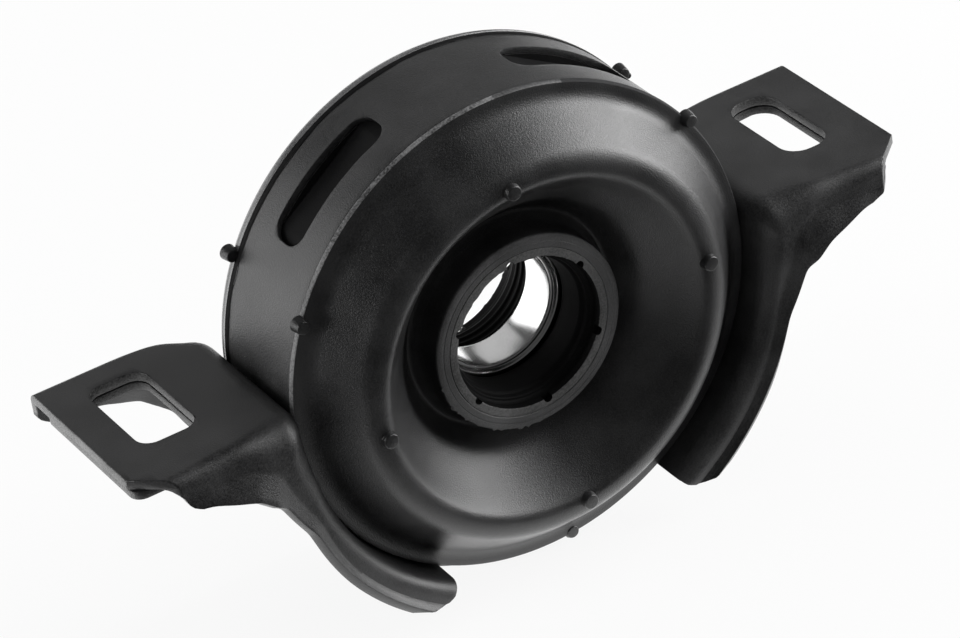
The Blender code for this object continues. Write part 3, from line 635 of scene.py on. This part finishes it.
def round_off(corners, radius, steps=3):
    """The outline with each of its corners rounded, none by more than a third of the edges beside it."""
    smooth = []
    for before, here, after in zip(corners[-1:] + corners[:-1], corners, corners[1:] + corners[:1]):
        back = Vector(before) - Vector(here)
        on = Vector(after) - Vector(here)
        reach = min(radius, back.length / 3, on.length / 3)
        start = Vector(here) + back.normalized() * reach
        end = Vector(here) + on.normalized() * reach
        for i in range(steps + 1):
            t = i / steps
            smooth.append(tuple(start * (1 - t) ** 2 + Vector(here) * 2 * t * (1 - t) + end * t * t))
    return smooth


def mirrored(outline, middle=0):
    """The outline of (radius, distance along the shaft) turned end for end about this middle."""
    return [(radius, 2 * middle - along) for radius, along in outline]


ring_radius = 61.8
window_angles = (126, 60)
window_width = 34.6
window_length = 11.2
window_corner = 4.3
window_along = -1.2
window_tool_height = 20


def window_tool(name, angle, shrink, lift):
    """A rounded block, long round the ring, whose middle is this far out from the shaft at this angle."""
    width, length = window_width - 2 * shrink, window_length - 2 * shrink
    tool = rounded_block(name, width, length, window_tool_height, window_corner - shrink)
    out = Matrix.Rotation(-math.radians(angle + 90), 4, "Y")
    across, up = lift * math.cos(math.radians(angle)), lift * math.sin(math.radians(angle))
    middle = Vector((across, window_along, up)) * mm
    tool.data.transform(Matrix.Translation(middle + Vector((0, 0, shaft))) @ out)
    return tool


ring_middle = -0.5
band_end = 14.8
band_start = -15.8
band_length = 30.6
ring_inside = 60.2
outside = [(ring_radius, band_start + band_length * i / 24) for i in range(24)]
rolled_rear = [
    (ring_radius, band_end), (61.75, 15.05), (61.5, 15.2), (60.5, 15.2), (60.25, 15.05),
    (ring_inside, band_end),
]
inside = [(ring_inside, band_end - band_length * i / 12) for i in range(1, 12)]
rolled_front = mirrored(rolled_rear[:0:-1], ring_middle)
ring = turn_on_shaft("rolled_ring", outside + rolled_rear + inside + rolled_front, 240)
for angle in window_angles:
    cut_away(ring, window_tool("ring_window", angle, 0, ring_radius))
merge_close(ring, 0.2)
ease_edges(ring, 0.2, angle=40)
ring_paint = grained("ring_paint", (0.004, 0.004, 0.0044), (0.024, 0.024, 0.0245), 0.32, 0.52, 0.38, 0.85)
ring.data.materials.clear()
ring.data.materials.append(ring_paint)
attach(ring, "housing")
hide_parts("outer_ring")

# The rubber cushion. One moulding: a lip over each edge of the ring, a bellows that swells forward to a
# crest and falls to a deep valley, and a thick collar round the bearing's sleeve.


def smooth_curve(points, steps):
    """A smooth curve through the points, with this many steps between two of them."""
    run = []
    for i in range(len(points) - 1):
        before = Vector(points[max(i - 1, 0)])
        start = Vector(points[i])
        end = Vector(points[i + 1])
        after = Vector(points[min(i + 2, len(points) - 1)])
        for step in range(steps):
            t = step / steps
            swing = (2 * before - 5 * start + 4 * end - after) * t * t
            twist = (3 * start - before - 3 * end + after) * t**3
            run.append(tuple(0.5 * (2 * start + (end - before) * t + swing + twist)))
    return run + [tuple(points[-1])]


outer_flank = [
    (60.4, -17.6), (59.56, -17.68), (58.77, -17.92), (58.01, -18.31), (57.31, -18.86), (56.64, -19.57),
]
outer_flank += [(57.8 - 7.74 * i / 10, -18.15 - 9.49 * i / 10) for i in range(2, 10)]
crest_radius = 45.1
outer_turns = [math.radians(39.2 + 50.8 * i / 9) for i in range(10)]
crest_out = [(crest_radius + 6.4 * math.cos(turn), -23.6 - 6.4 * math.sin(turn)) for turn in outer_turns]
inner_turns = [math.radians(48 * i / 7) for i in range(1, 8)]
crest_in = [(crest_radius - 3.5 * math.sin(turn), -26.5 - 3.5 * math.cos(turn)) for turn in inner_turns]
inner_flank = smooth_curve([
    (42.5, -28.84), (41.85, -28.12), (38.4, -23.9), (33.4, -18.4), (29.9, -13.4), (27.6, -10.9),
    (25.6, -13.4),
], 7)
back_of_bellows = smooth_curve([
    (31.7, -6.4), (32.7, -11.8), (37.6, -19.4), (45.0, -25.6), (52.1, -21.0), (57.5, -13.6),
], 6)
front_lip = [
    (60.15, -16.4), (61.9, -16.4), (62.08, -16.45), (62.08, -16.6), (61.8, -17.35), (61.65, -17.53),
    (61.4, -17.6),
]
collar = [
    (25.2, -15.8), (25.2, -19.3), (25.1, -19.75), (24.9, -20.05), (24.5, -20.2), (23.5, -20.33),
    (23.35, -20.27), (23.2, -20.38), (21.9, -20.4), (21.7, -20.25), (21.7, -19.3), (23.5, -19.3),
    (23.5, -8.6), (29.6, -8.6), (29.6, 8.6), (23.5, 8.6), (23.5, 19.3), (21.7, 19.3), (21.7, 20.4),
    (24.6, 20.4), (25.05, 20.1), (25.2, 19.6), (25.2, 11.2), (29.7, 11.0), (31.4, 10.2), (31.7, 8.9),
]
rear_lip = [
    (57.5, 16.0), (57.9, 16.6), (61.0, 16.66), (61.35, 16.6), (61.5, 16.4), (62.06, 13.95), (62.08, 13.85),
    (62.0, 13.78), (61.95, 13.75), (61.95, 12.5), (61.9, 12.4), (61.87, 12.5), (61.87, 15.5), (60.15, 15.5),
]
bellows = outer_flank + crest_out + crest_in + inner_flank[1:]
cushion_outline = front_lip + bellows + collar + back_of_bellows + rear_lip
cushion_steps = 256
cushion = turn_on_shaft("moulded_cushion", cushion_outline, cushion_steps)
for angle in window_angles:
    cut_away(cushion, window_tool("window_pocket", angle, 0.35, 68.4))


def from_shaft(point):
    """Radius, distance along the shaft and angle in degrees of a point, the lengths in millimetres."""
    x, along, z = (point - Vector((0, 0, shaft))) / mm
    return math.hypot(x, z), along, math.degrees(math.atan2(z, x)) % 360


def draw_out(vertex, grow):
    """Moves a vertex away from the shaft to this many times its radius."""
    x, along, z = (vertex.co - Vector((0, 0, shaft))) / mm
    vertex.co = Vector((x * grow * mm, along * mm, z * grow * mm + shaft))


def at_angle(ragged, angle):
    """What a row of values that runs once round the shaft gives at this angle."""
    return ragged[int(angle / 360 * cushion_steps) % cushion_steps]


# Ragged flash on the lower left of the collar, and a torn edge on the rear lip.
torn = np.random.default_rng(5)
flash = np.clip(torn.normal(-0.1, 0.3, cushion_steps), 0, 0.5)
wander = np.convolve(torn.normal(0, 0.32, cushion_steps + 20), np.ones(3) / 3, mode="valid")
for vertex in cushion.data.vertices:
    radius, along, angle = from_shaft(vertex.co)
    if 24.8 < radius < 25.3 and -20.15 < along < -19.6 and 190 < angle < 270:
        draw_out(vertex, 1 + at_angle(flash, angle) / radius)
    if radius > 61.8 and 12.3 < along < 12.6:
        vertex.co.y += at_angle(wander, angle) * 0.6 * mm
select_only(cushion)
bpy.ops.object.shade_smooth_by_angle(angle=smooth_angle)

rubber = grained("rubber", (0.005, 0.005, 0.0054), (0.018, 0.018, 0.0185), 0.3, 0.46, 0.36, 0.75)
# Rubber painted near black, as painted shade in the window pockets and at the foot of the rear lip.
dull_rubber = grained(
    "dull_rubber", (0.0015, 0.0015, 0.0017), (0.005, 0.005, 0.0053), 0.6, 0.8, 0.4, 0.5,
    {"Specular IOR Level": 0.12},
)
collar_rubber = grained("collar_rubber", (0.014, 0.014, 0.0145), (0.045, 0.045, 0.046), 0.45, 0.6, 0.4, 0.8)
# Lighter rubbers for the front rim's chamfer on the left: part scuffed edge, part painted highlight.
scuffed_rubber = grained("scuffed_rubber", (0.015, 0.015, 0.0155), (0.16, 0.16, 0.162), 0.4, 0.55, 0.6, 0.8)
worn_rubber = grained("worn_rubber", (0.012, 0.012, 0.0125), (0.06, 0.06, 0.061), 0.45, 0.6, 0.6, 0.8)
# Painted shade for the right side of the front rim's chamfer.
shaded_rubber = grained(
    "shaded_rubber", (0.012, 0.012, 0.0125), (0.03, 0.03, 0.031), 0.6, 0.8, 0.4, 0.6,
    {"Specular IOR Level": 0.1},
)
# Lighter, smoother rubber as a painted highlight on the rounded rear rim.
moulded_skin = grained("moulded_skin", (0.03, 0.03, 0.031), (0.1, 0.1, 0.102), 0.2, 0.32, 0.4, 0.4)
finishes = [rubber, dull_rubber, collar_rubber, scuffed_rubber, worn_rubber, shaded_rubber, moulded_skin]
for finish in finishes:
    cushion.data.materials.append(finish)
for face in cushion.data.polygons:
    radius, along, angle = from_shaft(face.center)
    # Painted shade: the floors of the window pockets and a band at the foot of the rear lip get the
    # near-black rubber.
    under_window = 58.0 < radius < 60.3 and -8 < along < 6
    finish = rubber
    if under_window or radius > 61.7 and 12.3 < along < 13.8:
        finish = dull_rubber
    # The front rim's chamfer: a light line on the left, part scuffed edge and part painted highlight, fading
    # at its ends, and painted shade on the right.
    elif radius > 61.65 and -17.5 < along < -16.5:
        finish = scuffed_rubber if 88 < angle < 250 else worn_rubber if 72 < angle < 262 else shaded_rubber
    # Painted highlight: the rounded rear rim gets the lighter rubber.
    elif radius > 61.45 and 13.8 < along < 16.45:
        finish = moulded_skin
    elif radius < 25.2 and abs(along) > 19.6:
        finish = collar_rubber
    face.material_index = finishes.index(finish)
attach(cushion, "housing")
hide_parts("rubber_cushion")

# The moulding nubs. Short round stubs of the same rubber, left where it was gated: four on the crest,
# three on the front lip, and two on the rear lip with a burr beside one. All point forward.


def round_shaft(radius, angle, along):
    """The point at this radius, angle in degrees and distance along the shaft, in metres."""
    turn = math.radians(angle)
    return Vector((radius * mm * math.cos(turn), along * mm, radius * mm * math.sin(turn) + shaft))


def round_pin(name, middle, radius, length, sides):
    """A round pin that lies along the shaft, with its middle at this point."""
    start_fresh()
    bpy.ops.mesh.primitive_cylinder_add(
        vertices=sides, radius=radius * mm, depth=length * mm, location=middle, rotation=(math.pi / 2, 0, 0),
    )
    pin = bpy.context.object
    pin.name = name
    bpy.ops.object.transform_apply(location=True, rotation=True, scale=True)
    return pin


# Each row: name, radius and angle round the shaft, back and front along it, and the nub's own radius.
nub_rows = [("crest_nub", 45.0, angle, -28.0, -31.28, 1.85) for angle in (5.2, 95.2, 185.2, 275.2)]
nub_rows += [("front_lip_nub", 62.0, angle, -16.6, -19.6, 1.6) for angle in (34.8, 154.8)]
nub_rows += [("front_lip_stub", 61.5, 274.7, -16.9, -17.9, 1.5)]
nub_rows += [("rear_lip_nub", 62.9, angle, 16.6, 13.7, 1.55) for angle in (31.6, 151.6)]
nub_rows += [("rear_lip_burr", 63.7, 29.4, 16.7, 14.9, 0.75)]
foot_share = 1.3
nub_bevel = 0.28
for index, (name, radius, angle, back, face, size) in enumerate(nub_rows):
    middle = round_shaft(radius, angle, (back + face) / 2)
    nub = round_pin(f"{name}_{index + 1}", middle, size, back - face, 32)
    front = min(vertex.co.y for vertex in nub.data.vertices)
    axis = Vector((middle.x, 0, middle.z))
    for vertex in nub.data.vertices:
        if vertex.co.y > front + 1e-5:
            out = vertex.co - axis
            vertex.co = axis + Vector((out.x * foot_share, out.y, out.z * foot_share))
    bpy.ops.object.mode_set(mode="EDIT")
    bpy.ops.mesh.select_all(action="DESELECT")
    bpy.ops.object.mode_set(mode="OBJECT")
    for edge in nub.data.edges:
        edge.select = all(abs(nub.data.vertices[i].co.y - front) < 1e-5 for i in edge.vertices)
    bpy.ops.object.mode_set(mode="EDIT")
    bpy.ops.mesh.select_mode(type="EDGE")
    bpy.ops.mesh.bevel(offset=nub_bevel * mm, segments=3, affect="EDGES")
    bpy.ops.object.mode_set(mode="OBJECT")
    bpy.ops.object.shade_smooth_by_angle(angle=math.radians(35))
    nub.data.materials.append(rubber)
    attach(nub, "housing")

# The sleeve. A steel tube pressed wide over the bearing and drawn in to a neck at each end, with the
# rubber bonded round it.
half = [(27.8, 6.8), (21.7, 6.8), (21.7, 19.0), (23.2, 19.0), (23.2, 8.3), (29.3, 8.3)]
sleeve = turn_on_shaft("drawn_sleeve", round_off(half + mirrored(half[::-1]), 0.5), 128)
sleeve_steel = grained(
    "sleeve_steel", (0.05, 0.05, 0.05), (0.09, 0.09, 0.09), 0.3, 0.42, 0.3, 0.15, {"Metallic": 0.8},
)
sleeve.data.materials.append(sleeve_steel)
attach(sleeve, "housing")
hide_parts("bearing_sleeve")

# The dust seals. A rubber ring is pushed into each neck of the sleeve, level with the collar. Six small
# notches are cut in its mouth, and its lips lean in towards the shaft. The rear one has ridges inside.
front_lips = [
    (21.64, 12.0), (21.64, 20.4), (19.5, 20.4), (19.45, 18.1), (19.15, 17.5), (18.8, 17.2), (18.4, 17.15),
    (18.15, 16.9), (18.0, 15.8), (17.55, 15.3), (17.3, 14.8), (16.9, 11.0), (16.8, 8.2), (17.1, 7.5),
    (17.6, 7.3), (18.0, 7.6), (18.4, 11.0), (19.6, 12.0),
]
ridges = [
    (17.5, 13.9), (17.45, 13.3), (16.95, 12.9), (16.9, 12.3), (17.35, 11.9), (17.3, 11.0), (16.85, 10.6),
    (16.8, 10.0), (17.25, 9.6), (17.2, 8.9),
]
smooth_lip = front_lips.index((16.9, 11.0))
rear_lips = front_lips[:smooth_lip] + ridges + front_lips[smooth_lip + 1:]
# The seals' rubber is painted much darker than the cushion's, as painted shade deep in the bore.
seal_rubber = grained(
    "seal_rubber", (0.001, 0.001, 0.0011), (0.004, 0.004, 0.0042), 0.55, 0.7, 0.4, 0.3,
    {"Specular IOR Level": 0.07},
)
cut_rubber = grained("cut_rubber", (0.012, 0.012, 0.012), (0.07, 0.07, 0.07), 0.5, 0.7, 0.5, 0.9)
seal_end = 20.4
mouth_radius = 19.5
notches = 6
notch_circle = 19.55
first_notch = 36.8
notch_radius = 1.15
notch_length = 3.6
for side, sign, lips in (("rear", 1, rear_lips), ("front", -1, front_lips)):
    outline = lips if side == "rear" else mirrored(lips)
    seal = turn_on_shaft(f"{side}_seal_ring", round_off(outline, 0.3), 192)
    for index in range(notches):
        spot = round_shaft(notch_circle, first_notch + 360 / notches * index, sign * seal_end)
        cut_away(seal, round_pin("notch", spot, notch_radius, notch_length, 20))
    select_only(seal)
    bpy.ops.object.shade_smooth_by_angle(angle=smooth_angle)
    for vertex in seal.data.vertices:
        radius, along, angle = from_shaft(vertex.co)
        if abs(along) > seal_end - 0.1 and radius < 19.8:
            draw_out(vertex, 1 + at_angle(wander, angle) / mouth_radius)
    seal.data.materials.append(seal_rubber)
    seal.data.materials.append(cut_rubber)
    for face in seal.data.polygons:
        radius, along, _ = from_shaft(face.center)
        if abs(along) > seal_end - 0.2 and radius > mouth_radius:
            face.material_index = 1
    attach(seal, "housing")
    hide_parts(f"dust_seal_{side}")

# The bearing. Two ground steel races with a row of balls between them, and a rubber faced shield at
# each side. The inner race is polished bright inside, where the shaft goes through it.
ball_circle = 21.25
ball_radius = 3.57
balls = 11
groove = 3.87
race_end = 6.5
inner_shoulder = 19.05
outer_shoulder = 23.45


def track(shoulder, side, steps=12):
    """The ball's groove in a race: side is 1 in the outer race and -1 in the inner one."""
    reach = math.acos(abs(shoulder - ball_circle) / groove)
    angles = [reach - 2 * reach * i / steps for i in range(steps + 1)]
    return [(ball_circle + side * groove * math.cos(a), groove * math.sin(a)) for a in angles]


mouth = [
    (16.9, race_end), (16.6, 6.44), (16.3, 6.15), (16.1, 5.75), (15.95, 5.62), (15.4, 5.6), (15.2, 5.5),
    (15.05, 5.3), (15.0, 5.0),
]
inner = mirrored(mouth) + mouth[::-1] + [(inner_shoulder, race_end)]
inner += track(inner_shoulder, -1) + [(inner_shoulder, -race_end)]
inner_race = turn_on_shaft("polished_inner_race", inner, 192)
shield_step = [(24.25, race_end), (24.25, 5.2), (outer_shoulder, 5.2)]
outer = [(27.2, -race_end), (27.5, -6.2), (27.5, 6.2), (27.2, race_end)] + shield_step
outer += track(outer_shoulder, 1) + mirrored(shield_step[::-1])
outer_race = turn_on_shaft("ground_outer_race", outer, 192)
polished = grained(
    "polished_steel", (0.66, 0.66, 0.66), (0.78, 0.78, 0.78), 0.16, 0.24, 0.3, 0.06, {"Metallic": 1.0},
)
ground = grained(
    "ground_steel", (0.35, 0.35, 0.36), (0.45, 0.45, 0.46), 0.2, 0.32, 0.2, 0.08, {"Metallic": 1.0},
)
for piece, body, node, finish, slot_name in (
    (inner_race, "inner_race", "bearing_inner_race", polished, "bright_steel"),
    (outer_race, "housing", "bearing_outer_race", ground, "plain_steel"),
):
    piece.data.materials.append(finish)
    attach(piece, body)
    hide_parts(node)
rear_shield = [(19.35, 5.5), (23.95, 5.5), (23.95, 6.3), (23.4, 6.5), (20.6, 6.5), (20.2, 6.2), (19.35, 6.2)]
for side, shield_outline in (("rear", rear_shield), ("front", mirrored(rear_shield))):
    shield = turn_on_shaft(f"{side}_shield_ring", shield_outline, 160)
    shield.data.materials.append(rubber)
    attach(shield, "housing")
    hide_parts(f"bearing_shield_{side}")
for index in range(balls):
    start_fresh()
    spot = round_shaft(ball_circle, 360 * index / balls, 0)
    bpy.ops.mesh.primitive_uv_sphere_add(segments=32, ring_count=20, radius=ball_radius * mm, location=spot)
    ball = bpy.context.object
    ball.name = f"bearing_ball_{index + 1}"
    bpy.ops.object.transform_apply(location=True, rotation=True, scale=True)
    bpy.ops.object.shade_smooth()
    ball.data.materials.append(polished)
    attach(ball, "cage")
    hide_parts(f"ball_{index + 1}")
for side in ("front", "rear"):
    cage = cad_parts[f"cage_{side}"]
    cage.data.materials.clear()
    cage.data.materials.append(ground)
